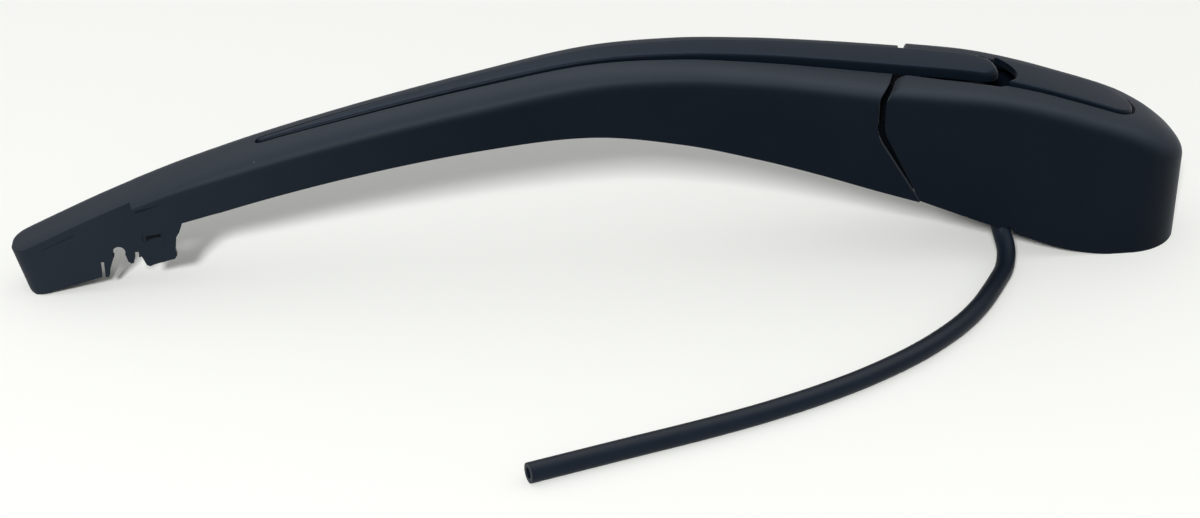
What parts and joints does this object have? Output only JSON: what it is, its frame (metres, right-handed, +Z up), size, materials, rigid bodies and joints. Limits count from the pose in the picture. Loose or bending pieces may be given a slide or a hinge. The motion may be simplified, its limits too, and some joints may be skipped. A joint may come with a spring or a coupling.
{
  "type": "rear wiper arm",
  "caption": "Rear window wiper arm with a broad round head, nut cap, tapered curved arm, proud centre strip, blade coupling and washer hose.",
  "frame": {"origin": "centre of the spindle bore's mouth, on the underside of the hub", "axes": "+Z up along the spindle bore, away from the car; the arm points along -X; Y lies along the hinge pin. The arm lies on a surface at z = -15 mm"},
  "size_m": [0.3472, 0.1399, 0.0662],
  "materials": {
    "textured_cover": "fine spark-eroded grain",
    "satin_trim": "smooth satin",
    "cast_metal": "die-cast",
    "coated_steel": "black coated",
    "steel": "plated",
    "bearing_plastic": "natural",
    "hose_rubber": "matte"
  },
  "bodies": {
    "head": {"head_shell": "textured_cover", "hinge_cover": "textured_cover", "head_core": "cast_metal", "spindle_bush": "steel", "hinge_bush": "bearing_plastic", "link_pin": "steel", "head_screws": "steel", "hose_joiner": "bearing_plastic", "washer_hose": "hose_rubber"},
    "cap": {"nut_cap": "satin_trim"},
    "arm": {"arm_shell": "textured_cover", "blade_coupling": "textured_cover", "centre_strip": "satin_trim", "arm_rail": "coated_steel", "hinge_pin": "steel", "spring_pin": "steel", "rail_screws": "steel", "arm_tube": "hose_rubber", "tube_clips": "bearing_plastic", "spray_nozzle": "textured_cover"},
    "spring": {"tension_spring": "steel"},
    "link": {"spring_link": "steel"}
  },
  "joints": [
    {"name": "arm_fold", "type": "hinge", "parent": "head", "child": "arm", "pos_m": [-0.036, 0, 0.0345], "axis": [0, 1, 0], "range_deg": [0, 50]},
    {"name": "cap_hinge", "type": "hinge", "parent": "head", "child": "cap", "pos_m": [0.0094, 0, 0.0247], "axis": [0, 1, 0], "range_deg": [0, 50]},
    {"name": "link_swing", "type": "hinge", "parent": "head", "child": "link", "pos_m": [-0.044, 0, 0.017], "axis": [0, 1, 0], "range_deg": [0, 49]},
    {"name": "spring_swing", "type": "hinge", "parent": "arm", "child": "spring", "pos_m": [-0.126, 0, 0.0355], "axis": [0, 1, 0], "range_deg": [-2, 0]}
  ],
  "couplings": [
    {"joint": "link_swing", "follows": "arm_fold", "ratio": 0.97},
    {"joint": "spring_swing", "follows": "arm_fold", "ratio": -0.03}
  ]
}
